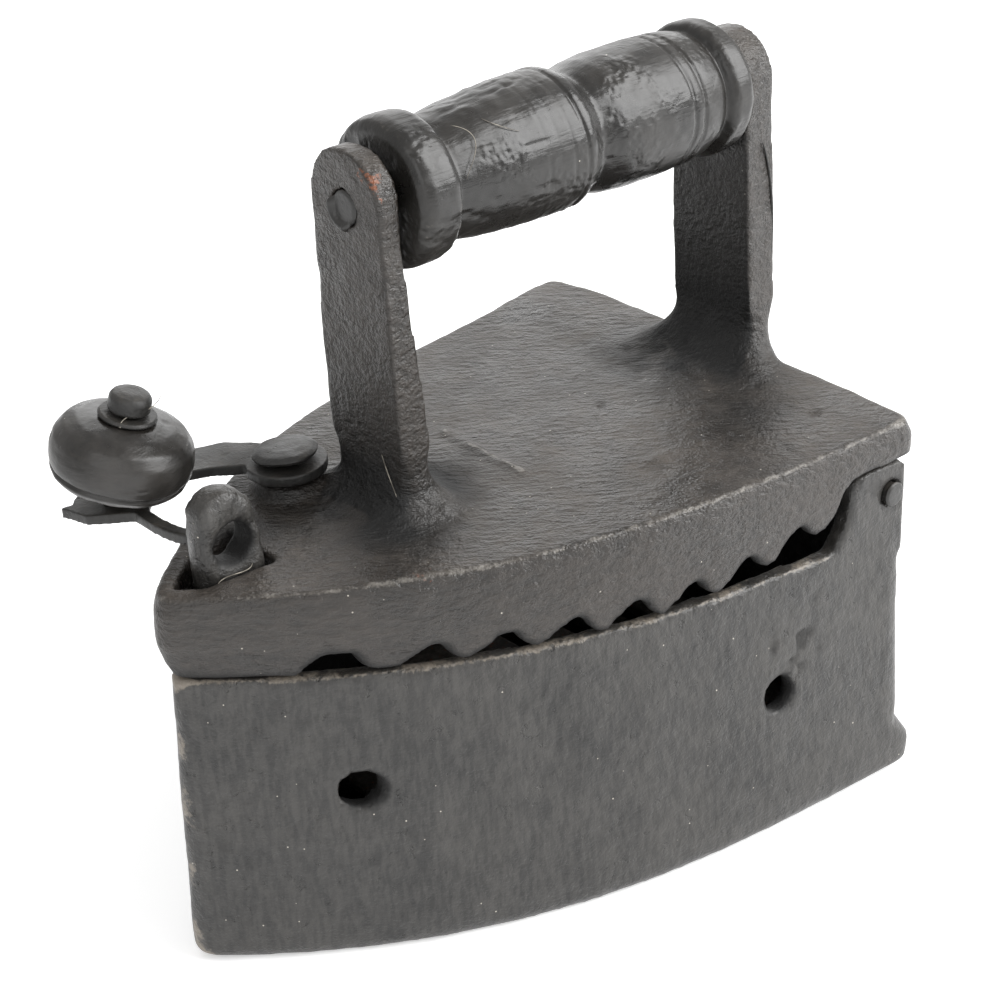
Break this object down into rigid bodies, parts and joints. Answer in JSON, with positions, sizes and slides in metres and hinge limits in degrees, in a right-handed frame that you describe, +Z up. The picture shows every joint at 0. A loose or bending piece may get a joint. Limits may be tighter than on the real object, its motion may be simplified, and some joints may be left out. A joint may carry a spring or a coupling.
{
  "type": "charcoal box iron",
  "caption": "Antique cast-iron charcoal iron with a hinged lid, turned wooden grip, hook latch with a turned knob, and a loose grate inside.",
  "frame": {"origin": "on the sole's underside, below the middle of the lid's length", "axes": "+X towards the flat heel, -X towards the nose, +Z up, -Y the side away from the latch"},
  "size_m": [0.1897, 0.1418, 0.1934],
  "materials": {
    "cast_body": "worn black paint over sand-cast iron, satin",
    "cast_lid": "worn black paint with a brown dusty cast, granular",
    "latch_iron": "forged, painted black and worn",
    "forged_iron": "forged, darkened and worn smooth",
    "painted_wood": "turned wood painted black, satin gloss",
    "grate_iron": "bare cast iron, sooty and rusty"
  },
  "bodies": {
    "body": {"body": "cast_body", "hinge_pin": "forged_iron"},
    "lid": {"lid": "cast_lid", "handle_rod": "forged_iron", "latch_rivet": "latch_iron"},
    "latch": {"latch_plate": "latch_iron", "knob_spindle": "forged_iron", "knob_washer": "forged_iron"},
    "knob": {"latch_knob": "painted_wood"},
    "grip": {"grip": "painted_wood"},
    "grate": {"fire_grate": "grate_iron"}
  },
  "joints": [
    {"name": "lid_hinge", "type": "hinge", "parent": "body", "child": "lid", "pos_m": [0.0835, 0, 0.082], "axis": [0, 1, 0], "range_deg": [0, 100]},
    {"name": "latch_swing", "type": "hinge", "parent": "lid", "child": "latch", "pos_m": [-0.0396, 0.0205, 0.1064], "axis": [0, 0, 1], "range_deg": [-100, 0]},
    {"name": "knob_spin", "type": "hinge", "parent": "latch", "child": "knob", "pos_m": [-0.0797, 0.0334, 0.1089], "axis": [0.2128, -0.1752, 0.9613], "continuous": true},
    {"name": "grip_spin", "type": "hinge", "parent": "lid", "child": "grip", "pos_m": [0, -0.0015, 0.1754], "axis": [1, 0, 0], "continuous": true},
    {"name": "grate_lift", "type": "slide", "parent": "body", "child": "grate", "axis": [0, 0, 1], "range_m": [0, 0.045]}
  ]
}
